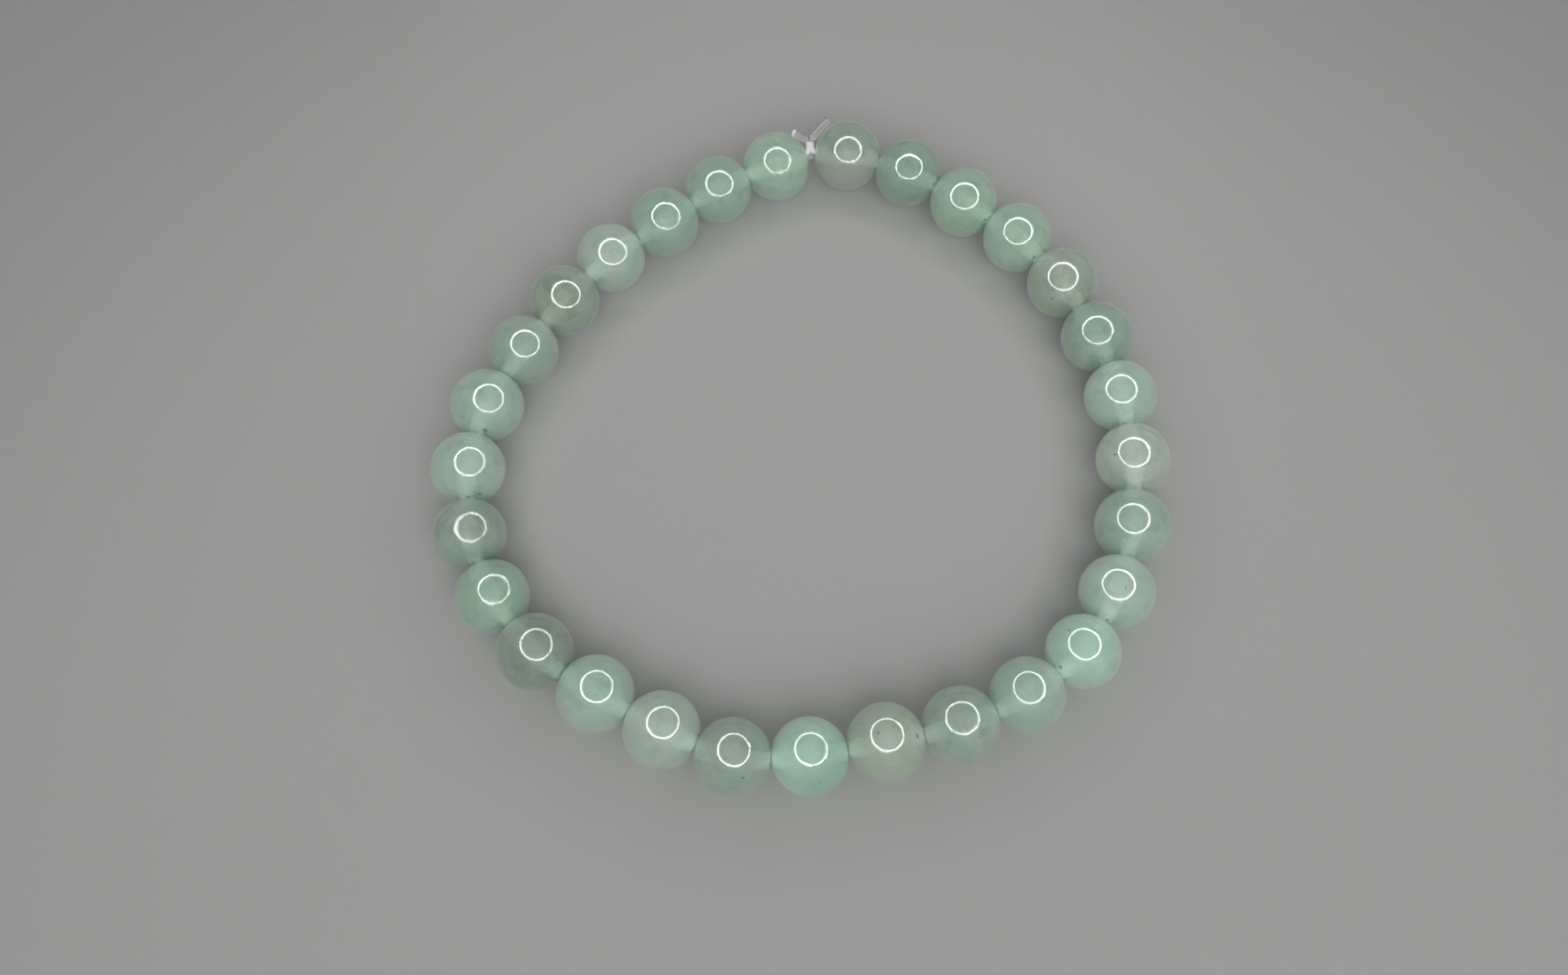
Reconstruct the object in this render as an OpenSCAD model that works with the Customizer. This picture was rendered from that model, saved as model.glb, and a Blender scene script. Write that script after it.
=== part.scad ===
// Stretch bracelet of round, drilled gemstone beads on one clear elastic cord.
// It lies flat: the beads rest on z = 0, and the middle of its box is on the Z axis.

/* [Beads] */
// How many beads are on the cord
bead_count = 29; // [26:1:32]
// Diameter of an ordinary bead, across its drilled hole
bead_d = 6; // [5:0.5:7]
// Length of an ordinary bead along its hole, as a share of its diameter
bead_length_share = 0.95; // [0.94:0.01:0.97]
// Diameter of the drilled hole
hole_d = 1; // [1:0.05:1.2]
// Width of the small bevel at each mouth of the hole
mouth_bevel = 0.08; // [0.04:0.02:0.12]
// How much a large bead is over the ordinary diameter, and a small one under it
grade_step = 0.12; // [0:0.02:0.12]
// Clearance between neighbouring beads where the string bends most
bead_gap = 0.08; // [0.08:0.01:0.15]

/* [Cord] */
// Diameter of the elastic cord where it is slack, as in its cut tails
cord_d = 0.7; // [0.5:0.05:0.7]
// Thickness of the cord inside the beads, where it is stretched, as a share of that
stretch_share = 0.75; // [0.6:0.05:0.75]
// Extra room on the string where the cord is knotted, between the last bead and the first
knot_room = 0.65; // [0.65:0.05:1]

/* [Knot] */
// How far the knot stands out from the string
knot_reach = 1.3; // [1.3:0.1:2]
// Angle at which the knot and its tails rise outwards
knot_rise = 15; // [5:1:25]
// Length of the cut tail that leans towards the first bead
first_tail_length = 1.8; // [1.5:0.1:2.5]
// Length of the cut tail that leans towards the last bead
last_tail_length = 2.8; // [2:0.1:3]

/* [Hidden] */
// Which beads, counted anticlockwise from the knot, are a step over or under the ordinary size
large_beads = [3, 7, 8, 11, 12, 16, 21, 25, 29];
small_beads = [2, 4, 6, 9, 10, 18, 19, 28];

// Stone colours, and the colour of each bead
stone_colours = ["#9dbfae", "#86ab96", "#a9b9aa", "#b4b9a5"];
green = 0;
dark = 1;
pale = 2;
warm = 3;
bead_colours = [
    green, dark, green, pale, warm, pale, green, green, dark, green,
    pale, green, pale, dark, green, warm, dark, green, green, green,
    dark, warm, green, dark, warm, green, green, dark, pale
];
cord_colour = "#e6ecea";

// Outline of the string as it lies: its distance from the middle every outline_step degrees,
// anticlockwise from +X. Only the proportions count, because the beads set the string's length.
outline_step = 20;
outline_reach = [
    27, 26.5, 26.5, 26.5, 27.5, 25.5, 23.5, 23.5, 24.5,
    27, 28.5, 28.5, 27.5, 28, 27, 28, 29, 28
];
// Bearing of the knot, and the sharpest turn from one bead to the next
knot_bearing = 88;
sharpest_turn = 25;

// The knot: two tilted wraps of cord round a short stem with a rounded crown, and two tails
knot_gap = 0.09;
knot_lean = -5;
stem_r = 0.32 * cord_d;
crown_r = 0.54 * cord_d;
wrap_r = 0.22 * cord_d;
wrap_pitch = 0.43 * cord_d;
wrap_count = 2;
wrap_tilt = 28;
first_tail_splay = 54;
last_tail_splay = -43;

// Facets: smooth round faces, and eight sides on the cord through the beads
round_sides = 64;
cord_sides = 8;
full_turn = 360;

hole_r = hole_d / 2;
tail_r = cord_d / 2;
cord_r = stretch_share * cord_d / 2;
large_r = (bead_d + grade_step) / 2;

// Heights in the knot, from the middle of the stretched cord: its foot, and its first wrap's middle
knot_start = cord_r + knot_gap + wrap_r;
first_wrap = knot_start + (stem_r + wrap_r) * sin(wrap_tilt);

// Names and sizes of the beads, where bead k is the k-th one anticlockwise from the knot
function bead_name(k) = str("bead_", k < 10 ? "0" : "", k);
function is_in(k, list) = len(search(k, list)) > 0;
function grade(k) = is_in(k, large_beads) ? grade_step : is_in(k, small_beads) ? -grade_step : 0;
function bead_r(k) = (bead_d + grade(k)) / 2;

// Side of a bead: a circular arc whose centre lies a little off the hole's axis, towards the side,
// so that the bead is slightly shorter along its hole than across it
function arc_offset(r) = r * (1 - pow(bead_length_share, 2)) / 2;
function arc_r(r) = r - arc_offset(r);
function mouth_height(r) = sqrt(pow(arc_r(r), 2) - pow(hole_r - arc_offset(r), 2));
// Half the room that a bead takes on the string where the string bends most
function half_room(r) = arc_r(r) + arc_offset(r) * sin(sharpest_turn / 2) + bead_gap / 2;

// Smooth closed curve through the outline's rows, by cubic interpolation
function outline_row(row) = outline_reach[(row + len(outline_reach)) % len(outline_reach)];
function smooth(a, b, c, d, t) =
    b + t * (c - a + t * (2 * a - 5 * b + 4 * c - d + t * (3 * (b - c) + d - a))) / 2;
function reach_at(bearing) =
    let (
        turns = (bearing % full_turn) / outline_step,
        row = floor(turns)
    )
    smooth(outline_row(row - 1), outline_row(row), outline_row(row + 1), outline_row(row + 2), turns - row);
function outline_point(bearing) = reach_at(bearing) * [cos(bearing), sin(bearing)];

// Distance run along the outline from the knot, degree by degree, and the bearing reached there
outline_run = [
    for (
        turn = 0, run = 0;
        turn <= full_turn;
        run = run + norm(outline_point(knot_bearing + turn + 1) - outline_point(knot_bearing + turn)),
        turn = turn + 1
    )
    [run, knot_bearing + turn]
];

// Place of each bead on the string, from the middle of the knot's room
bead_places = [
    for (
        k = 1, place = knot_room / 2 + half_room(bead_r(1));
        k <= bead_count;
        place = place + half_room(bead_r(k)) + half_room(bead_r(k + 1)),
        k = k + 1
    )
    place
];
string_length = bead_places[bead_count - 1] + half_room(bead_r(bead_count)) + knot_room / 2;
outline_scale = string_length / outline_run[full_turn][0];

// Middle of each bead on the string, before the bracelet is centred
laid_points = [
    for (place = bead_places)
    outline_scale * outline_point(lookup(place / outline_scale, outline_run))
];

// Heading of each bead's hole: along the line between its two neighbours
function laid_point(k) = laid_points[(k - 1 + bead_count) % bead_count];
function bead_axis(k) = let (along = laid_point(k + 1) - laid_point(k - 1)) along / norm(along);
function bead_heading(k) = let (axis = bead_axis(k)) atan2(axis.y, axis.x);

// The knot's foot is halfway between the mouths of the last bead and the first, and it stands
// outwards, nearly square to the line through those two beads
function laid_mouth(k, end) = laid_point(k) + end * mouth_height(bead_r(k)) * bead_axis(k);
knot_foot = (laid_mouth(bead_count, 1) + laid_mouth(1, -1)) / 2;
knot_side = laid_point(bead_count) - laid_point(1);
knot_heading = atan2(knot_side.y, knot_side.x) + 90 + knot_lean;
function flat_step(length, heading) = length * cos(knot_rise) * [cos(heading), sin(heading)];
last_tail_tip = knot_foot + flat_step(knot_reach, knot_heading)
    + flat_step(last_tail_length, knot_heading + last_tail_splay);

// Middle of the whole bracelet's box
edges_x = [for (k = [1 : bead_count]) each [laid_point(k).x - bead_r(k), laid_point(k).x + bead_r(k)]];
edges_y = [for (k = [1 : bead_count]) each [laid_point(k).y - bead_r(k), laid_point(k).y + bead_r(k)]];
box_middle = [
    (min(edges_x) + max(edges_x)) / 2,
    (min(edges_y) + max(max(edges_y), last_tail_tip.y + tail_r / 2)) / 2
];

function centred(point) = [point.x - box_middle.x, point.y - box_middle.y, large_r];

// One drilled bead, its hole along Z
module drilled_bead(r) {
    bevel_top = mouth_height(r) + r;
    bevel_foot = mouth_height(r) - mouth_bevel;
    bevel_x = hole_r + bevel_top - bevel_foot;
    rotate_extrude($fn = round_sides)
        intersection() {
            translate([arc_offset(r), 0]) circle(r = arc_r(r), $fn = round_sides);
            polygon([
                [hole_r, -bevel_foot],
                [bevel_x, -bevel_top],
                [bevel_x, bevel_top],
                [hole_r, bevel_foot]
            ]);
        }
}

module bead(k) {
    color(stone_colours[bead_colours[(k - 1) % len(bead_colours)]])
        translate(centred(laid_point(k)))
            rotate([0, 90, bead_heading(k)])
                drilled_bead(bead_r(k));
}

// Route of the cord: straight through each hole, bending halfway between neighbouring beads,
// and past the knot's foot between the last bead and the first
cord_route = concat(
    [laid_mouth(1, -1)],
    [for (k = [1 : bead_count - 1]) (laid_mouth(k, 1) + laid_mouth(k + 1, -1)) / 2],
    [laid_mouth(bead_count, 1)]
);
bends = len(cord_route);
function leg(i) = let (step = cord_route[(i + 1) % bends] - cord_route[i % bends]) step / norm(step);

// One ring of the cord, in the plane that halves the bend at point i of its route
function cord_ring(i) =
    let (
        before = leg(i + bends - 1),
        after = leg(i),
        ahead = (before + after) / norm(before + after),
        across = [ahead.y, -ahead.x, 0] / (ahead * after)
    )
    [
        for (side = [0 : cord_sides - 1])
        let (turn = full_turn * side / cord_sides)
        centred(cord_route[i]) + cord_r * (cos(turn) * across + [0, 0, sin(turn)])
    ];

// The cord, a closed loop
module elastic_cord() {
    points = [for (i = [0 : bends - 1]) each cord_ring(i)];
    faces = [
        for (i = [0 : bends - 1], side = [0 : cord_sides - 1])
        let (
            next_side = (side + 1) % cord_sides,
            ring = i * cord_sides,
            next_ring = (i + 1) % bends * cord_sides
        )
        [ring + next_side, ring + side, next_ring + side, next_ring + next_side]
    ];
    color(cord_colour) polyhedron(points = points, faces = faces);
}

// One wrap of cord round the knot's stem
module wrap(height) {
    translate([0, 0, height])
        rotate([0, -wrap_tilt, 0])
            rotate_extrude($fn = round_sides)
                translate([stem_r, 0]) circle(r = wrap_r, $fn = round_sides);
}

// A cut tail from the knot's crown, leaning sideways by its splay
module tail(length, splay) {
    translate([0, 0, knot_reach])
        rotate([0, -splay, 0])
            cylinder(r = tail_r, h = length, $fn = round_sides);
}

// The knot stands outwards between the last bead and the first
module knot() {
    color(cord_colour)
        translate(centred(knot_foot))
            rotate([0, 0, knot_heading - 90])
                rotate([knot_rise - 90, 0, 0]) {
                    translate([0, 0, knot_start])
                        cylinder(r = stem_r, h = knot_reach - knot_start, $fn = round_sides);
                    translate([0, 0, knot_reach]) sphere(r = crown_r, $fn = round_sides);
                    for (i = [0 : wrap_count - 1]) wrap(first_wrap + i * wrap_pitch);
                    tail(first_tail_length, first_tail_splay);
                    tail(last_tail_length, last_tail_splay);
                }
}

for (k = [1 : bead_count])
    bead(k);
elastic_cord();
knot();
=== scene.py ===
import math

import bpy
from mathutils import Matrix, Vector, noise


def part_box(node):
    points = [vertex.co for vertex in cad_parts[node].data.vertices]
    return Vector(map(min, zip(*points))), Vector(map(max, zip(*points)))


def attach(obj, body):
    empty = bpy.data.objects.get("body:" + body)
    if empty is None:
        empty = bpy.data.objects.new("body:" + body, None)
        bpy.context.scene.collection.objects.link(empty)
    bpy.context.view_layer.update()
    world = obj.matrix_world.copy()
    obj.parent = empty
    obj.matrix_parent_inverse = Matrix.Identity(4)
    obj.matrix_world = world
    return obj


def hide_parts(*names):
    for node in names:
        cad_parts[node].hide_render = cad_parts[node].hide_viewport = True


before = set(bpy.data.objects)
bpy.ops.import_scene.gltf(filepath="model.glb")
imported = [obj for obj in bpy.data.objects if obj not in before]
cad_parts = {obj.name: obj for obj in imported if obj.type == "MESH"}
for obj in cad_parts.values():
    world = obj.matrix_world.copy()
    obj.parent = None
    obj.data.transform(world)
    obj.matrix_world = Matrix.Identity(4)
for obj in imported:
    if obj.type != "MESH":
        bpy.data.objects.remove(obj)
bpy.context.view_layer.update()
MM = 0.001

# The view. The camera is held close over the near side of the bracelet and looks steeply down on it.
# Its lens, height and tilt follow from the sizes and the spacing of the beads in the picture.
look_at = Vector((-1.36, -4.21, 0)) * MM
camera_distance = 118.8 * MM
camera_elevation = math.radians(67.17)
camera_roll = math.radians(-0.17)
lens_length = 32.42
sensor_width = 36
nearest_shown = 5 * MM

view_side = Vector((0, -math.cos(camera_elevation), math.sin(camera_elevation)))
view_turn = view_side.to_track_quat("Z", "Y").to_matrix().to_4x4() @ Matrix.Rotation(camera_roll, 4, "Z")
camera_data = bpy.data.cameras.new("camera")
camera_data.lens = lens_length
camera_data.sensor_width = sensor_width
camera_data.clip_start = nearest_shown
camera = bpy.data.objects.new("camera", camera_data)
camera.matrix_world = Matrix.Translation(look_at + camera_distance * view_side) @ view_turn
camera_up = camera.matrix_world.to_3x3() @ Vector((0, 1, 0))
bpy.context.scene.collection.objects.link(camera)
bpy.context.scene.camera = camera

# Green beads. Each is a ball of milky, translucent green quartz, ground round, drilled right through
# and tumbled to a high polish that leaves it very slightly uneven. Nearly half of the string is these.
bead_names = sorted(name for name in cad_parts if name.startswith("bead_"))
bead_boxes = [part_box(name) for name in bead_names]
middles = [(low + high) / 2 for low, high in bead_boxes]
fullness = 1.015
radii = [
    min(fullness * (high.z - low.z) / 2, middle.z)
    for (low, high), middle in zip(bead_boxes, middles)
]
up = Vector((0, 0, 1))

length_share = 0.95
hole_radius = 0.5 * MM
lip_radius = 0.53 * MM
lip_depth = 0.04 * MM
near_touch = 0.015 * MM
share_step = 0.001
round_steps = 112
side_steps = 32
hole_steps = 8
# How uneven the polish is: the width and the height of its swells, from the broad to the fine ones
swells = [
    (2.4 * MM, 0.012 * MM),
    (0.9 * MM, 0.0035 * MM),
    (0.45 * MM, 0.002 * MM),
    (0.3 * MM, 0.001 * MM),
]


def hole_axis(k):
    """Direction of the hole through bead k, along the line between its two neighbours."""
    return (middles[(k + 1) % len(middles)] - middles[k - 1]).normalized()


def arc_of(radius, share):
    """The arc that makes one end of a bead, from how long the bead is beside its width: how far the
    arc's middle is off the hole's axis, and the arc's own radius."""
    offset = radius * (1 - share ** 2) / 2
    return offset, radius - offset


def mouth_height(radius, share=length_share):
    """Distance from a bead's middle to the mouth of its hole."""
    offset, arc = arc_of(radius, share)
    return math.sqrt(arc ** 2 - (lip_radius - offset) ** 2)


def facing(k):
    """How bead k and the next face each other: how long they are beside their width on those sides,
    so that they all but touch, and how far each hole turns to meet the other. Beside the knot they
    keep the ordinary length and straight holes."""
    if k % len(radii) == len(radii) - 1:
        return length_share, 0.0, 0.0
    line = middles[k + 1] - middles[k]
    room = line.length - near_touch
    share = 1.0
    while mouth_height(radii[k], share) + mouth_height(radii[k + 1], share) > room:
        share -= share_step
    turns = [math.asin(hole_axis(bead).cross(line.normalized()).z) for bead in (k, k + 1)]
    return share, turns[0], turns[1]


def bead_outline(k):
    """Outline of half of bead k's section: (distance along the hole, distance off its axis) for the
    polished side, from mouth to mouth, and for the wall of the hole, back again."""
    side, wall = [], []
    for end, share in ((-1, facing(k - 1)[0]), (1, facing(k)[0])):
        offset, arc = arc_of(radii[k], share)
        last_turn = math.acos((lip_radius - offset) / arc)
        steps = range(side_steps, 0, -1) if end < 0 else range(side_steps + 1)
        turns = [end * last_turn * i / side_steps for i in steps]
        side += [(arc * math.sin(turn), offset + arc * math.cos(turn)) for turn in turns]
        wall.append(end * (mouth_height(radii[k], share) - lip_depth))
    wall_start, wall_end = wall
    wall = [wall_end + (wall_start - wall_end) * i / hole_steps for i in range(hole_steps + 1)]
    return side, [(x, hole_radius) for x in wall]


def bead_mesh(name, k, uneven):
    """Bead k, turned round its hole's axis, with the slight unevenness of its polish. The attribute
    in_bead is each point's place along, across and above the axis, in radii."""
    side, wall = bead_outline(k)
    along = hole_axis(k)
    across = up.cross(along)
    turn_back, turn_ahead = facing(k - 1)[2], facing(k)[1]
    outline = side + wall
    points, places = [], []
    for row, (x, off_axis) in enumerate(outline):
        bend = Matrix.Rotation((turn_ahead if x > 0 else turn_back) * (x / radii[k]) ** 2, 3, "Z")
        calm = min(1, off_axis / lip_radius - 1)
        for step in range(round_steps):
            turn = 2 * math.pi * step / round_steps
            place = Vector((x, off_axis * math.cos(turn), off_axis * math.sin(turn)))
            point = middles[k] + bend @ (place.x * along + place.y * across + place.z * up)
            if row < len(side):
                swell = uneven * sum(height * noise.noise(point / width) for width, height in swells)
                point += calm * swell * (point - middles[k]).normalized()
            points.append(point)
            places.append(place / radii[k])
    faces, surfaces = [], []
    for row in range(len(outline)):
        next_row = (row + 1) % len(outline)
        for step in range(round_steps):
            next_step = (step + 1) % round_steps
            faces.append([
                row * round_steps + step,
                row * round_steps + next_step,
                next_row * round_steps + next_step,
                next_row * round_steps + step,
            ])
            surfaces.append(0 if row < len(side) - 1 else 1)
    mesh = bpy.data.meshes.new(name)
    mesh.from_pydata(points, [], faces)
    mesh.polygons.foreach_set("material_index", surfaces)
    mesh.polygons.foreach_set("use_smooth", [True] * len(faces))
    in_bead = mesh.attributes.new("in_bead", "FLOAT_VECTOR", "POINT")
    in_bead.data.foreach_set("vector", [part for place in places for part in place])
    return mesh


def add_piece(name, mesh):
    """Put a mesh into the scene as an object of its own."""
    piece = bpy.data.objects.new(name, mesh)
    bpy.context.scene.collection.objects.link(piece)
    return piece


def feed(tree, socket, source):
    """Give a socket a value, or join it to another node's output."""
    if isinstance(source, bpy.types.NodeSocket):
        tree.links.new(source, socket)
    else:
        socket.default_value = source


def add_node(tree, kind, inputs=(), **settings):
    """Add a shader node, with its settings and the values or outputs that feed its inputs."""
    added = tree.nodes.new(kind)
    for name, value in settings.items():
        setattr(added, name, value)
    for name, source in dict(inputs).items():
        feed(tree, added.inputs[name], source)
    return added


def mix_colours(tree, share, first, second):
    """The first colour with a share of the second mixed in."""
    mixer = add_node(tree, "ShaderNodeMix", data_type="RGBA")
    inputs = {socket.identifier: socket for socket in mixer.inputs}
    feed(tree, inputs["Factor_Float"], share)
    feed(tree, inputs["A_Color"], first)
    feed(tree, inputs["B_Color"], second)
    return next(socket for socket in mixer.outputs if socket.identifier == "Result_Color")


def ramp(tree, source, between, into=(0.0, 1.0)):
    """Spread the part of a value between two levels smoothly over another two."""
    levels = {
        "Value": source,
        "From Min": between[0],
        "From Max": between[1],
        "To Min": into[0],
        "To Max": into[1],
    }
    return add_node(tree, "ShaderNodeMapRange", levels, interpolation_type="SMOOTHSTEP").outputs["Result"]


def maths(tree, operation, first, second):
    """One sum on two values."""
    return add_node(tree, "ShaderNodeMath", {0: first, 1: second}, operation=operation).outputs[0]


def vector_maths(tree, operation, first, second):
    """One sum on two vectors, which gives a vector or a value."""
    summed = add_node(tree, "ShaderNodeVectorMath", {0: first, 1: second}, operation=operation)
    return summed.outputs["Value" if operation in ("DOT_PRODUCT", "DISTANCE") else "Vector"]


def noise_at(tree, place, size, detail=2):
    """Smooth noise whose swirls are about the given size."""
    inputs = {"Vector": place, "Scale": 1 / size, "Detail": detail}
    return add_node(tree, "ShaderNodeTexNoise", inputs).outputs[0]


def place_on_piece(tree):
    """Where a point is on the piece, in metres."""
    return add_node(tree, "ShaderNodeTexCoord").outputs["Object"]


def place_in_bead(tree):
    """Where a point is in its bead: along, across and above the hole's axis, in radii."""
    return add_node(tree, "ShaderNodeAttribute", attribute_name="in_bead").outputs["Vector"]


def bump(tree, height, distance, strength=1.0):
    """Normal of a surface that stands out by a share of the distance."""
    inputs = {"Strength": strength, "Distance": distance, "Height": height}
    return add_node(tree, "ShaderNodeBump", inputs).outputs["Normal"]


def new_group(name, inputs, outputs):
    """An empty node group with named sockets, and its inner input and output nodes."""
    group = bpy.data.node_groups.new(name, "ShaderNodeTree")
    for label, (kind, value) in inputs.items():
        socket = group.interface.new_socket(name=label, in_out="INPUT", socket_type="NodeSocket" + kind)
        socket.default_value = value
    for label, kind in outputs.items():
        group.interface.new_socket(name=label, in_out="OUTPUT", socket_type="NodeSocket" + kind)
    return group, add_node(group, "NodeGroupInput").outputs, add_node(group, "NodeGroupOutput").inputs


def place_group(tree, group, inputs=()):
    """Put a node group into a material, and give back its outputs."""
    return add_node(tree, "ShaderNodeGroup", inputs, node_tree=group).outputs


def new_material(name):
    """A material, its nodes and its shader."""
    material = bpy.data.materials.new(name)
    material.use_nodes = True
    return material, material.node_tree, material.node_tree.nodes["Principled BSDF"]


def colour(red, green, blue):
    """A colour given on a 0 to 255 scale, as the shader's own light values."""
    def light(level):
        level = level / 255
        return level / 12.92 if level <= 0.04045 else ((level + 0.055) / 1.055) ** 2.4
    return (light(red), light(green), light(blue), 1)


def weaker(tint, share):
    """The same tint, as a thinner layer of the stone would have it."""
    return tuple(part ** share for part in tint[:3]) + (1,)


dye = colour(36, 112, 84)
fleck_colour = colour(58, 78, 66)
plain_grey = (0.5, 0.5, 0.5, 1)


def cloudy_quartz():
    """Stone colour with paler and darker clouds and a fine grain, as in milky quartz."""
    group, given, out = new_group(
        "cloudy_quartz",
        {
            "Stone": ("Color", plain_grey),
            "Pale": ("Color", plain_grey),
            "Deep": ("Color", plain_grey),
            "Clouds": ("Float", 0.4),
        },
        {"Colour": "Color"},
    )
    pale_size, pale_levels = 2.3 * MM, (0.45, 0.7)
    deep_size, deep_levels = 1.4 * MM, (0.48, 0.72)
    grain_size, grain_levels, most_grain = 0.35 * MM, (0.35, 0.7), 0.1
    deep_offset = (0.02, 0.05, 0.03)
    place = place_on_piece(group)
    deep_place = vector_maths(group, "ADD", place, deep_offset)
    pale_clouds = ramp(group, noise_at(group, place, pale_size, detail=3), pale_levels)
    deep_clouds = ramp(group, noise_at(group, deep_place, deep_size, detail=4), deep_levels)
    grain = ramp(group, noise_at(group, place, grain_size), grain_levels, into=(0.0, most_grain))
    pale_share = maths(group, "MULTIPLY", pale_clouds, given["Clouds"])
    deep_share = maths(group, "MULTIPLY", deep_clouds, given["Clouds"])
    with_pale = mix_colours(group, pale_share, given["Stone"], given["Pale"])
    with_deep = mix_colours(group, deep_share, with_pale, given["Deep"])
    feed(group, out["Colour"], mix_colours(group, grain, with_deep, given["Deep"]))
    return group


def second_tone_and_painted_shade():
    """A second colour on one side of the bead: on some beads a real change in the stone's layer, on others
    painted shade.
    """
    group, given, out = new_group(
        "second_tone_and_painted_shade",
        {
            "Colour": ("Color", plain_grey),
            "Other": ("Color", plain_grey),
            "Side": ("Vector", (0, 0, 1)),
        },
        {"Colour": "Color"},
    )
    wave_size, wave_levels, wave_reach = 0.8, (0.3, 0.7), (-0.2, 0.2)
    other_from, other_whole = -0.1, 0.8
    place = place_in_bead(group)
    towards_side = vector_maths(group, "DOT_PRODUCT", place, given["Side"])
    waves = ramp(group, noise_at(group, place, wave_size), wave_levels, into=wave_reach)
    share = ramp(group, maths(group, "ADD", towards_side, waves), (other_from, other_whole))
    feed(group, out["Colour"], mix_colours(group, share, given["Colour"], given["Other"]))
    return group


def dyed_mouths():
    """Darker green where colour has gathered round the two mouths of the hole."""
    group, given, out = new_group(
        "dyed_mouths",
        {
            "Colour": ("Color", plain_grey),
            "Dye": ("Color", dye),
            "Amount": ("Float", 0.55),
            "Reach": ("Float", 0.42),
        },
        {"Colour": "Color"},
    )
    lip = 0.16
    blotch_size, blotch_levels = 0.6 * MM, (0.38, 0.62)
    off_axis = vector_maths(group, "MULTIPLY", place_in_bead(group), (0, 1, 1))
    distance = vector_maths(group, "DISTANCE", off_axis, (0, 0, 0))
    ring = ramp(group, distance, (given["Reach"], lip))
    blotches = ramp(group, noise_at(group, place_on_piece(group), blotch_size), blotch_levels)
    share = maths(group, "MULTIPLY", maths(group, "MULTIPLY", ring, blotches), given["Amount"])
    feed(group, out["Colour"], mix_colours(group, share, given["Colour"], given["Dye"]))
    return group


def tumbled_polish():
    """A high polish that isn't perfectly even: faint ripples, and gloss that varies a little."""
    group, given, out = new_group(
        "tumbled_polish",
        {"Ripple": ("Float", 1.0), "Gloss": ("Float", 0.12)},
        {"Normal": "Vector", "Roughness": "Float"},
    )
    ripple_size, ripple_height = 0.3 * MM, 0.008 * MM
    rub_size, rub_levels, most_rubbed = 1.6 * MM, (0.3, 0.8), 0.08
    place = place_on_piece(group)
    ripples = noise_at(group, place, ripple_size)
    rubbed = ramp(group, noise_at(group, place, rub_size), rub_levels, into=(0.0, most_rubbed))
    feed(group, out["Normal"], bump(group, ripples, ripple_height, given["Ripple"]))
    feed(group, out["Roughness"], maths(group, "ADD", given["Gloss"], rubbed))
    return group


def small_mark():
    """Mask of one small spot at a place in the bead, with a ragged edge."""
    group, given, out = new_group(
        "small_mark",
        {"Place": ("Vector", (0, 0, 1)), "Size": ("Float", 0.04)},
        {"Mask": "Float"},
    )
    rag_size, rag_reach = 0.06, (0.5, 1.5)
    place = place_in_bead(group)
    distance = vector_maths(group, "DISTANCE", place, given["Place"])
    ragged = ramp(group, noise_at(group, place, rag_size), (0.0, 1.0), into=rag_reach)
    edge = maths(group, "MULTIPLY", given["Size"], ragged)
    feed(group, out["Mask"], ramp(group, distance, (edge, 0.0)))
    return group


def frosted_drilling():
    """The powdery frost and faint turning marks that a drill leaves, dyed near the mouths."""
    group, given, out = new_group(
        "frosted_drilling",
        {
            "Frost": ("Color", plain_grey),
            "Powder": ("Color", plain_grey),
            "Dye": ("Color", dye),
        },
        {"Colour": "Color", "Roughness": "Float", "Normal": "Vector"},
    )
    powder_size, powder_levels, roughness_levels = 0.3 * MM, (0.3, 0.8), (0.6, 0.85)
    mark_size, mark_height = 0.12 * MM, 0.02 * MM
    dye_from, dye_whole = 0.86, 0.93
    place = place_on_piece(group)
    along = add_node(group, "ShaderNodeSeparateXYZ", {0: place_in_bead(group)}).outputs["X"]
    near_mouth = ramp(group, maths(group, "ABSOLUTE", along, 0), (dye_from, dye_whole))
    powder = ramp(group, noise_at(group, place, powder_size, detail=3), powder_levels)
    wall = mix_colours(group, powder, given["Frost"], given["Powder"])
    feed(group, out["Colour"], mix_colours(group, near_mouth, wall, given["Dye"]))
    feed(group, out["Roughness"], ramp(group, powder, (0.0, 1.0), into=roughness_levels))
    feed(group, out["Normal"], bump(group, noise_at(group, place, mark_size), mark_height))
    return group


clouds_group = cloudy_quartz()
tone_and_shade_group = second_tone_and_painted_shade()
mouths_group = dyed_mouths()
polish_group = tumbled_polish()
mark_group = small_mark()
drilling_group = frosted_drilling()

quartz_ior = 1.54
quartz_clearness = 0.84
coat_share = 0.5
coat_roughness = 0.08
sheen_share = 0.2
sheen_roughness = 0.5
tint_depth = 186
milk_direction = 0.3
wall_clearness = 0.1
# How much of a bead's tint, or of the dye, each part of it shows
surface_tint = 0.4
pale_tint = 0.15
deep_tint = 0.9
milk_tint = 0.12
frost_tint = 0.05
powder_tint = 0.2
wall_dye = 0.5


def let_light_through(tree, shader):
    """Let the lamps shine into the stone, where its milkiness catches their light."""
    lit_through = add_node(tree, "ShaderNodeMixShader", {
        0: add_node(tree, "ShaderNodeLightPath").outputs["Is Shadow Ray"],
        1: shader.outputs[0],
        2: add_node(tree, "ShaderNodeBsdfTransparent").outputs[0],
    })
    feed(tree, tree.nodes["Material Output"].inputs["Surface"], lit_through.outputs[0])


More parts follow.
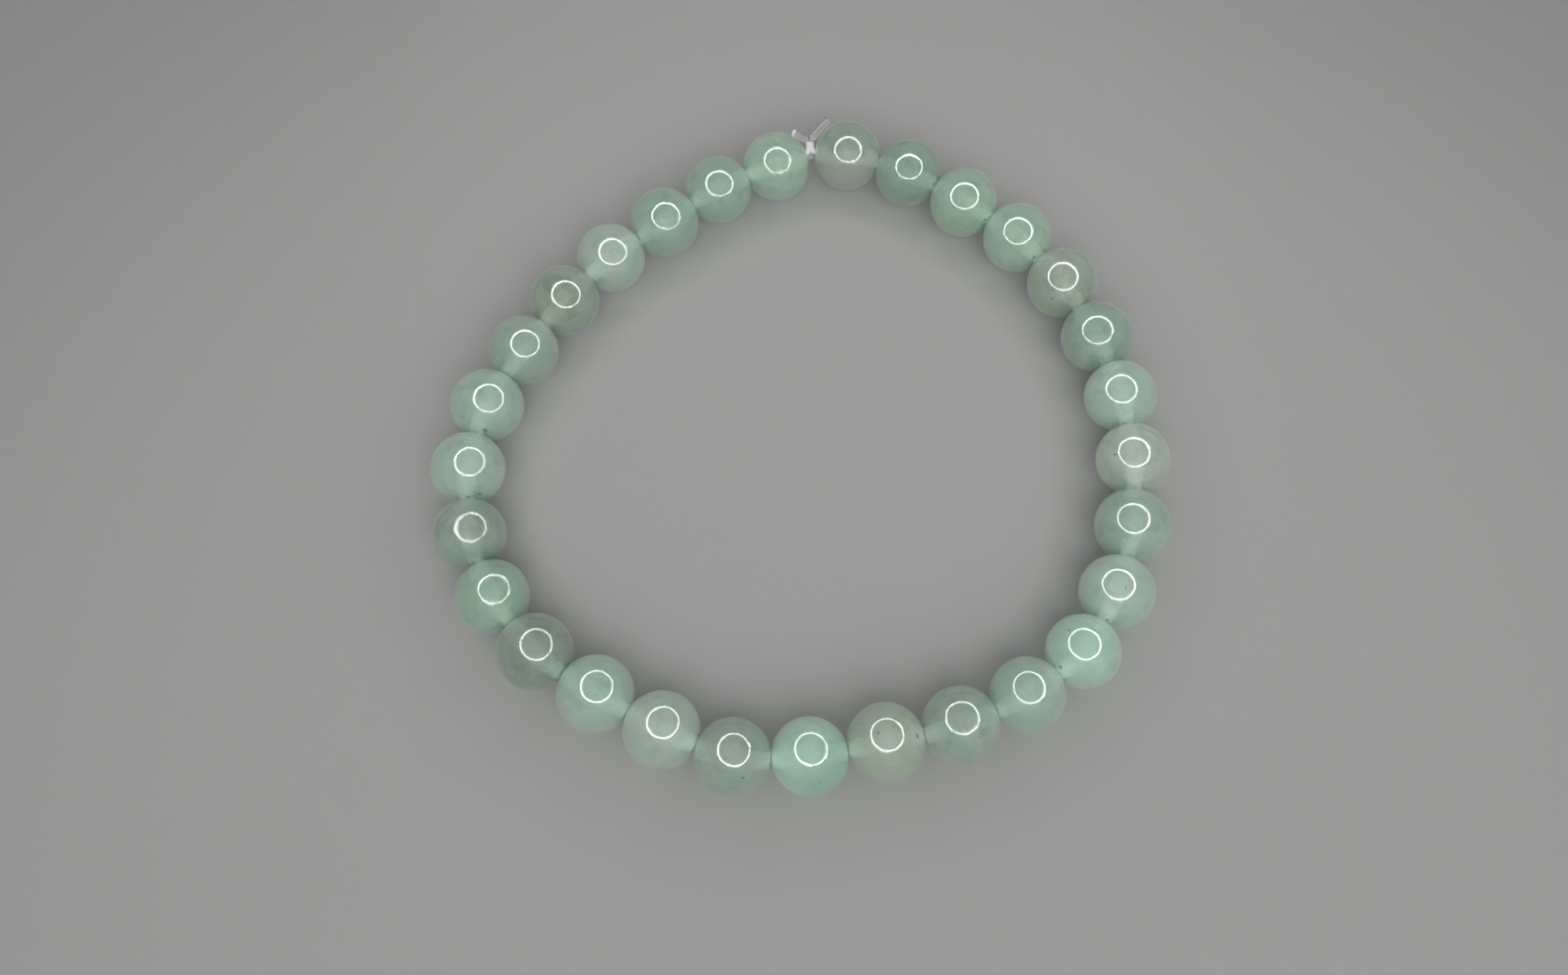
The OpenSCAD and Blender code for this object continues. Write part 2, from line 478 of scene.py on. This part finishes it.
def quartz(name, tint, marks, ripple, depth, clouds, milk, other, side):
    """Polished, translucent quartz of one bead: a coloured surface, with its marks as (place, size,
    colour), over an inside that is milky and tinted."""
    material, tree, shader = new_material(name)
    surface = place_group(tree, clouds_group, {
        "Stone": weaker(tint, surface_tint),
        "Pale": weaker(tint, pale_tint),
        "Deep": weaker(tint, deep_tint),
        "Clouds": clouds,
    })["Colour"]
    if other:
        tones = {"Colour": surface, "Other": weaker(other, surface_tint), "Side": side}
        surface = place_group(tree, tone_and_shade_group, tones)["Colour"]
    surface = place_group(tree, mouths_group, {"Colour": surface})["Colour"]
    for place, size, mark_colour in marks:
        mask = place_group(tree, mark_group, {"Place": place, "Size": size})["Mask"]
        surface = mix_colours(tree, mask, surface, mark_colour)
    polish = place_group(tree, polish_group, {"Ripple": ripple})
    feed(tree, shader.inputs["Base Color"], surface)
    feed(tree, shader.inputs["Roughness"], polish["Roughness"])
    feed(tree, shader.inputs["Normal"], polish["Normal"])
    feed(tree, shader.inputs["IOR"], quartz_ior)
    feed(tree, shader.inputs["Transmission Weight"], quartz_clearness)
    feed(tree, shader.inputs["Coat Weight"], coat_share)
    feed(tree, shader.inputs["Coat Roughness"], coat_roughness)
    feed(tree, shader.inputs["Sheen Weight"], sheen_share)
    feed(tree, shader.inputs["Sheen Roughness"], sheen_roughness)
    let_light_through(tree, shader)
    milkiness = add_node(tree, "ShaderNodeVolumeScatter", {
        "Color": weaker(tint, milk_tint),
        "Density": milk,
        "Anisotropy": milk_direction,
    })
    tinting = add_node(tree, "ShaderNodeVolumeAbsorption", {"Color": tint, "Density": depth * tint_depth})
    inside = add_node(tree, "ShaderNodeAddShader", {0: milkiness.outputs[0], 1: tinting.outputs[0]})
    feed(tree, tree.nodes["Material Output"].inputs["Volume"], inside.outputs[0])
    return material


def drilled_wall(name, tint):
    """Frosted wall of the hole, paler than the stone."""
    material, tree, shader = new_material(name)
    drilling = place_group(tree, drilling_group, {
        "Frost": weaker(tint, frost_tint),
        "Powder": weaker(tint, powder_tint),
        "Dye": weaker(dye, wall_dye),
    })
    feed(tree, shader.inputs["Base Color"], drilling["Colour"])
    feed(tree, shader.inputs["Roughness"], drilling["Roughness"])
    feed(tree, shader.inputs["Normal"], drilling["Normal"])
    feed(tree, shader.inputs["Transmission Weight"], wall_clearness)
    let_light_through(tree, shader)
    return material


def seen_place(k, right, above):
    """Place in bead k of the point of its surface that shows this far right of its middle and above
    it from the camera, all in radii: along, across and above the hole's axis."""
    towards = (camera.matrix_world.translation - middles[k]).normalized()
    rightwards = camera_up.cross(towards).normalized()
    upwards = towards.cross(rightwards)
    outwards = math.sqrt(1 - right ** 2 - above ** 2)
    point = right * rightwards + above * upwards + outwards * towards
    along = hole_axis(k)
    return point.dot(along), point.dot(up.cross(along)), point.z


def make_bead(number, tint, depth=1.0, milk=750, clouds=0.4, uneven=1.0, other=None, side=(0, 0),
              flecks=(), stains=()):
    """One drilled and polished bead, counted anticlockwise from the knot: its tint and how deep that
    is, how milky, cloudy and uneven it is, and its other tint with the side that has it, a second
    tone of the stone on some beads and painted shade on others. That side is right and above, in
    radii, as the camera sees it. So are flecks and stains of dye, with a size."""
    k = number - 1
    name = bead_names[k]
    marks = [(seen_place(k, right, above), size, fleck_colour) for right, above, size in flecks]
    marks += [(seen_place(k, right, above), size, dye) for right, above, size in stains]
    other_side = seen_place(k, *side)
    stone = quartz("quartz_" + name, tint, marks, uneven, depth, clouds, milk, other, other_side)
    piece = add_piece(name + "_stone", bead_mesh(name + "_stone", k, uneven))
    piece.data.materials.append(stone)
    piece.data.materials.append(drilled_wall("drilled_" + name, tint))
    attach(piece, "root")
    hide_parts(name)


leaf_green = colour(136, 183, 147)
mint_green = colour(147, 188, 160)
bright_mint = colour(152, 203, 172)
# A darker mint, used as painted shade on one side of bead 15
painted_shade_mint = colour(104, 158, 130)
make_bead(1, leaf_green, uneven=3.0)
make_bead(3, mint_green, depth=1.6, uneven=2.0)
make_bead(7, mint_green, stains=[(-0.17, -0.7, 0.12)])
make_bead(8, mint_green, depth=0.9, stains=[(-0.13, -0.78, 0.12), (0.21, -0.72, 0.08)])
make_bead(10, leaf_green, depth=1.25, uneven=2.5)
make_bead(12, mint_green)
# Bead 15 has painted shade in the darker mint on its lower right, as the camera sees it
make_bead(15, bright_mint, depth=0.85, other=painted_shade_mint, side=(0.75, -0.6),
          flecks=[(0.26, -0.62, 0.04)])
make_bead(18, mint_green, depth=1.2)
make_bead(19, bright_mint, depth=0.85, flecks=[(-0.35, 0.53, 0.045)],
          stains=[(-0.49, -0.52, 0.12)])
make_bead(20, mint_green, depth=0.75, flecks=[(0.215, 0.1, 0.035)],
          stains=[(-0.14, -0.77, 0.1)])
make_bead(23, mint_green, depth=0.8)
make_bead(26, leaf_green, stains=[(0.57, -0.55, 0.1)])
make_bead(27, leaf_green, depth=1.2, flecks=[(0.54, -0.14, 0.04)],
          stains=[(0.66, -0.51, 0.11)])

# Darker green beads. They are the same quartz where it holds more colour, cut and drilled alike.
# They lie here and there between the paler ones.
deep_green = colour(122, 167, 135)
grey_green = colour(126, 161, 134)
make_bead(2, deep_green)
make_bead(9, grey_green, depth=1.3, uneven=3.0, stains=[(0.0, -0.81, 0.1)])
make_bead(14, grey_green, clouds=0.25, flecks=[(0.24, -0.5, 0.04)])
make_bead(17, grey_green, uneven=2.0)
make_bead(21, deep_green, depth=0.8, flecks=[(-0.27, 0.77, 0.03)])
make_bead(24, deep_green, depth=1.2)
make_bead(28, deep_green, depth=1.5, stains=[(0.84, -0.28, 0.13)])

# Pale beads. This is the least coloured quartz, from whitish grey to nearly clear, where the drilled
# hole shows most inside the stone. It is cut and drilled as the rest is.
pale_grey = colour(148, 181, 155)
clear_grey = colour(119, 151, 124)
ashen = colour(156, 162, 144)
make_bead(4, pale_grey, depth=0.85)
make_bead(6, pale_grey, depth=1.4)
make_bead(11, clear_grey, depth=1.15, milk=560)
make_bead(13, pale_grey, depth=0.85)
make_bead(29, clear_grey, milk=660, other=ashen, side=(0.1, -0.9))

# Warm beads. A little iron in the quartz turns these from green towards beige and olive.
# They are cut and drilled as the rest are.
beige = colour(154, 182, 151)
olive = colour(126, 157, 124)
make_bead(5, olive, depth=1.3)
make_bead(16, beige, depth=1.2, clouds=0.25,
          flecks=[(-0.18, 0.22, 0.035), (0.78, 0.16, 0.08)])
make_bead(22, beige, depth=0.8, flecks=[(-0.46, 0.12, 0.045)])
make_bead(25, olive, flecks=[(-0.24, -0.44, 0.04), (0.37, -0.29, 0.035)])

# Elastic. One clear, springy cord runs through every bead and closes on itself beside the knot.
# It is pulled to about three quarters of its slack thickness, and the beads hide nearly all of it.
# The dye in the holes has stained it, apart from the short length that is bare at the knot.
cord_radius = 0.2625 * MM
cord_sides = 24
elastic_ior = 1.5
stained_clearness = 0.3
clear_clearness = 0.92
streak_shade = 1.3
stained = colour(146, 188, 168)
clear = colour(250, 252, 252)


def tube_rows(route, radius_at, side_up, closed):
    """Rings of points round a route, each in the plane that halves the bend there."""
    rows = []
    last = len(route) - 1
    for i, point in enumerate(route):
        before = route[i - 1] if i > 0 or closed else point
        after = route[(i + 1) % len(route)] if i < last or closed else point
        ahead = (after - before).normalized()
        across = ahead.cross(side_up).normalized()
        above = across.cross(ahead)
        rows.append([
            point + radius_at(i / last) * (math.cos(turn) * across + math.sin(turn) * above)
            for turn in (2 * math.pi * step / cord_sides for step in range(cord_sides))
        ])
    return rows


def skin(rows, closed):
    """Points and faces over a row of rings, with the ends capped where the row isn't closed."""
    points = [point for row in rows for point in row]
    size = len(rows[0])
    faces = []
    for row in range(len(rows) if closed else len(rows) - 1):
        next_row = (row + 1) % len(rows)
        for step in range(size):
            next_step = (step + 1) % size
            faces.append([
                row * size + step,
                next_row * size + step,
                next_row * size + next_step,
                row * size + next_step,
            ])
    if not closed:
        faces.append(list(range(size)))
        faces.append(list(reversed(range((len(rows) - 1) * size, len(rows) * size))))
    return points, faces


def mesh_of(name, *groups):
    """One smooth mesh from groups of skins, each group in a material of its own."""
    points, faces, surfaces = [], [], []
    for surface, skins in enumerate(groups):
        for skin_points, skin_faces in skins:
            faces += [[index + len(points) for index in face] for face in skin_faces]
            surfaces += [surface] * len(skin_faces)
            points += skin_points
    mesh = bpy.data.meshes.new(name)
    mesh.from_pydata(points, [], faces)
    mesh.polygons.foreach_set("material_index", surfaces)
    mesh.polygons.foreach_set("use_smooth", [True] * len(faces))
    return mesh


def mouth(k, end):
    """Middle of the mouth at one end of bead k's hole."""
    return middles[k] + end * mouth_height(radii[k]) * hole_axis(k)


def drawn_streaks():
    """Faint streaks in the elastic's tone, gloss and surface, from the way it was drawn."""
    group, given, out = new_group(
        "drawn_streaks",
        {"Tone": ("Color", plain_grey), "Shade": ("Color", plain_grey)},
        {"Colour": "Color", "Roughness": "Float", "Normal": "Vector"},
    )
    streak_size, streak_height = 0.5 * MM, 0.02 * MM
    tone_levels, gloss_levels, roughness_levels = (0.3, 0.7), (0.3, 0.8), (0.05, 0.14)
    streaks = noise_at(group, place_on_piece(group), streak_size, detail=3)
    share = ramp(group, streaks, tone_levels)
    feed(group, out["Colour"], mix_colours(group, share, given["Shade"], given["Tone"]))
    feed(group, out["Roughness"], ramp(group, streaks, gloss_levels, into=roughness_levels))
    feed(group, out["Normal"], bump(group, streaks, streak_height))
    return group


streaks_group = drawn_streaks()


def elastic(name, tone, clearness):
    """Smooth, glossy elastic."""
    material, tree, shader = new_material(name)
    streaks = place_group(tree, streaks_group, {"Tone": tone, "Shade": weaker(tone, streak_shade)})
    feed(tree, shader.inputs["Base Color"], streaks["Colour"])
    feed(tree, shader.inputs["Roughness"], streaks["Roughness"])
    feed(tree, shader.inputs["Normal"], streaks["Normal"])
    feed(tree, shader.inputs["IOR"], elastic_ior)
    feed(tree, shader.inputs["Transmission Weight"], clearness)
    return material


cord_route = [mouth(0, -1)]
for k in range(len(middles) - 1):
    cord_route += [middles[k], (mouth(k, 1) + mouth(k + 1, -1)) / 2]
cord_route += [middles[-1], mouth(-1, 1)]
cord_skin = skin(tube_rows(cord_route, lambda run: cord_radius, up, True), True)
cord = add_piece("elastic_through_beads", mesh_of("elastic_through_beads", [cord_skin]))
cord.data.materials.append(elastic("stained_elastic", stained, stained_clearness))
cord.data.materials.append(elastic("bared_elastic", clear, clear_clearness))
for face in list(cord.data.polygons)[-cord_sides:]:
    face.material_index = 1
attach(cord, "root")
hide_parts("elastic_cord")

# Knot. The elastic's two ends rise side by side between the last bead and the first, are bound by
# turns of the same cord pulled tight, and stand out as two cut tails, slack and so a little thicker.
# The strands, the turns and the tip of the short tail are made nearly white and less clear: a painted
# highlight for the knot's bright glints.
knot_rise = math.radians(15)
knot_lean = math.radians(-5)
knot_reach = 1.3 * MM
tail_radius = 0.35 * MM
tails = {"towards_first": (1.8 * MM, math.radians(54)), "towards_last": (2.8 * MM, math.radians(-43))}
tail_steps = 16
splay_at_start = 0.85
share_at_turns = 0.55
opening_rate = 2.2
cut_end_share = 0.85
# How far round the short tail's cut tip the painted highlight reaches
painted_tip_reach = 0.4 * MM
strand_radius = 0.23 * MM
# How the strands draw together as they rise: distance to the side and distance out, both in mm
strand_bows = [(0.3, 0.12), (0.26, 0.3), (0.21, 0.5), (0.17, 0.75), (0.15, 1.0), (0.15, 1.3)]
wrap_radius = 0.13 * MM
wrap_turns = 2.5
wrap_width = 0.25 * MM
wrap_depth = 0.2 * MM
wrap_foot = 0.8 * MM
wrap_pitch = 0.2 * MM
wrap_tilt = math.radians(28)
wrap_steps = 60
# Painted highlight: nearly white, barely clear elastic for the strands, the turns and the short tail's tip
painted_highlight_white = colour(253, 254, 254)
painted_highlight_clearness = 0.2

foot = (mouth(-1, 1) + mouth(0, -1)) / 2
gap_line = (middles[0] - middles[-1]).normalized()
outward = Matrix.Rotation(knot_lean, 3, "Z") @ Vector((-gap_line.y, gap_line.x, 0))
if outward.dot(foot) < 0:
    outward = -outward
rise = math.cos(knot_rise) * outward + math.sin(knot_rise) * up
sideways = up.cross(outward)
over = sideways.cross(rise)


def knot_place(side, reach, above=0.0):
    """A point of the knot: how far to the side, how far out and how far above."""
    return foot + side * sideways + reach * rise + above * over


def strand(side):
    """One of the two strands that rise from the string into the turns."""
    route = [knot_place(side * bow * MM, reach * MM) for bow, reach in strand_bows]
    return skin(tube_rows(route, lambda run: strand_radius, over, False), False)


def turns():
    """The turns of cord that bind the strands."""
    route = []
    for i in range(wrap_steps + 1):
        turn = 2 * math.pi * wrap_turns * i / wrap_steps
        side = wrap_width * math.cos(turn)
        reach = wrap_foot + wrap_pitch * wrap_turns * i / wrap_steps + math.tan(wrap_tilt) * side
        route.append(knot_place(side, reach, wrap_depth * math.sin(turn)))
    return skin(tube_rows(route, lambda run: wrap_radius, rise, False), False)


def tail_route(length, splay):
    """Middle line of a cut tail, which bends a little on its way to its full splay."""
    route = []
    for i in range(tail_steps + 1):
        run = i / tail_steps
        bend = splay * (splay_at_start + (1 - splay_at_start) * run)
        route.append(knot_place(length * run * math.sin(bend), knot_reach + length * run * math.cos(bend)))
    return route


def tail_radius_at(run):
    """Radius along a tail, squeezed where it leaves the turns and slightly rounded at its cut end."""
    squeeze = min(1, share_at_turns + opening_rate * run)
    cut = 1 if run < 1 else cut_end_share
    return tail_radius * squeeze * cut


tail_routes = {name: tail_route(*sizes) for name, sizes in tails.items()}
pulled_tight = [strand(-1), strand(1), turns()]
slack = [skin(tube_rows(route, tail_radius_at, over, False), False) for route in tail_routes.values()]
knot = add_piece("tied_knot", mesh_of("tied_knot", pulled_tight, slack))
knot.data.materials.append(elastic("painted_highlight_elastic", painted_highlight_white, painted_highlight_clearness))
knot.data.materials.append(elastic("clear_elastic", clear, clear_clearness))
# The short tail's cut tip gets the painted highlight as well
short_tip = tail_routes["towards_first"][-1]
for face in knot.data.polygons:
    if (face.center - short_tip).length < painted_tip_reach:
        face.material_index = 0
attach(knot, "root")
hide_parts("knot")

# Studio. A plain pale floor, a small ring of light over the bracelet that gives each bead its bright
# circle, a faint haze behind that ring, a wide soft light above, and the room's own light.
floor_half = 0.6
floor_tone = colour(168, 168, 167)
floor_roughness = 0.9
floor_mesh = bpy.data.meshes.new("floor")
floor_corners = [(x * floor_half, y * floor_half, 0) for x, y in ((-1, -1), (1, -1), (1, 1), (-1, 1))]
floor_mesh.from_pydata(floor_corners, [], [(0, 1, 2, 3)])
floor = add_piece("floor", floor_mesh)
paper, paper_tree, paper_shader = new_material("pale_paper")
feed(paper_tree, paper_shader.inputs["Base Color"], floor_tone)
feed(paper_tree, paper_shader.inputs["Roughness"], floor_roughness)
floor_mesh.materials.append(paper)

# The ring's place and the way it faces go by the camera's own axes: right, up and back
ring_place = Vector((6.2, 16.5, -57.7)) * MM
ring_facing = Vector((0.06, 0.58, 1))
ring_radius = 64.7 * MM
ring_width = 5.6 * MM
ring_steps = 128
ring_glow = 4.6
ring_sparkle = 4.2
haze_glow = 0.6
haze_spread = 1.5
haze_behind = 8 * MM

ring_middle = camera.matrix_world @ ring_place
ring_face = (camera.matrix_world.to_3x3() @ ring_facing).normalized()
ring_side = camera_up.cross(ring_face).normalized()
ring_up = ring_face.cross(ring_side)
ring_spokes = [
    math.cos(turn) * ring_side + math.sin(turn) * ring_up
    for turn in (2 * math.pi * step / ring_steps for step in range(ring_steps))
]
ring_points = []
for spoke in ring_spokes:
    edge = ring_middle + ring_radius * spoke
    aim = (look_at - edge).normalized()
    across = aim.cross(aim.cross(spoke)).normalized()
    ring_points += [edge - ring_width / 2 * across, edge + ring_width / 2 * across]
ring_faces = [
    (2 * i, 2 * i + 1, 2 * ((i + 1) % ring_steps) + 1, 2 * ((i + 1) % ring_steps))
    for i in range(ring_steps)
]
ring_mesh = bpy.data.meshes.new("ring_light")
ring_mesh.from_pydata(ring_points, [], ring_faces)
ring = add_piece("ring_light", ring_mesh)


def glowing(name, strength, in_gloss):
    """Light whose reflections on polished stone have a strength of their own, and that fades where
    its mesh's attribute fade says so."""
    material = bpy.data.materials.new(name)
    material.use_nodes = True
    tree = material.node_tree
    tree.nodes.clear()
    gloss = add_node(tree, "ShaderNodeLightPath").outputs["Is Glossy Ray"]
    fade = add_node(tree, "ShaderNodeAttribute", attribute_name="fade").outputs["Fac"]
    full = ramp(tree, gloss, (0.0, 1.0), into=(strength, in_gloss))
    level = maths(tree, "MULTIPLY", full, maths(tree, "SUBTRACT", 1.0, fade))
    light = add_node(tree, "ShaderNodeEmission", {"Strength": level, "Color": (1, 1, 1, 1)})
    add_node(tree, "ShaderNodeOutputMaterial", {"Surface": light.outputs[0]})
    return material


ring_mesh.materials.append(glowing("ring_glow", ring_glow, ring_glow * ring_sparkle))
ring.visible_camera = False

haze_middle = ring_middle + haze_behind * ring_face
haze_rim = [haze_middle + haze_spread * ring_radius * spoke for spoke in ring_spokes]
haze_faces = [(0, step + 1, (step + 1) % ring_steps + 1) for step in range(ring_steps)]
haze_mesh = bpy.data.meshes.new("ring_haze")
haze_mesh.from_pydata([haze_middle] + haze_rim, [], haze_faces)
haze_mesh.attributes.new("fade", "FLOAT", "POINT").data.foreach_set("value", [0] + [1] * ring_steps)
haze_mesh.materials.append(glowing("haze_glow", 0.0, haze_glow))
haze_mesh.materials[0].cycles.emission_sampling = "NONE"
haze = add_piece("ring_haze", haze_mesh)
haze.visible_camera = False
haze.visible_diffuse = False
haze.visible_transmission = False
haze.visible_shadow = False
haze.visible_volume_scatter = False

soft_size = 1.1
soft_energy = 10.5
soft_place = (0.14, -0.9, 1.0)
soft_data = bpy.data.lights.new("soft_light", "AREA")
soft_data.size = soft_size
soft_data.energy = soft_energy
soft = bpy.data.objects.new("soft_light", soft_data)
soft.location = soft_place
soft.rotation_euler = (-soft.location).to_track_quat("-Z", "Y").to_euler()
soft.visible_glossy = False
bpy.context.scene.collection.objects.link(soft)

# The room is brighter level with the floor than overhead
side_glow = 0.37
top_glow = 0.2
top_height = 0.75
world = bpy.data.worlds.new("studio")
world.use_nodes = True
room = world.node_tree
direction = add_node(room, "ShaderNodeTexCoord").outputs["Generated"]
height = add_node(room, "ShaderNodeSeparateXYZ", {0: direction}).outputs["Z"]
room_glow = ramp(room, height, (0.0, top_height), into=(side_glow, top_glow))
feed(room, room.nodes["Background"].inputs["Color"], (1, 1, 1, 1))
feed(room, room.nodes["Background"].inputs["Strength"], room_glow)
bpy.context.scene.world = world
bpy.context.scene.view_settings.view_transform = "Standard"
bpy.context.scene.cycles.volume_bounces = 8
bpy.context.scene.cycles.transmission_bounces = 12
bpy.context.scene.cycles.max_bounces = 16
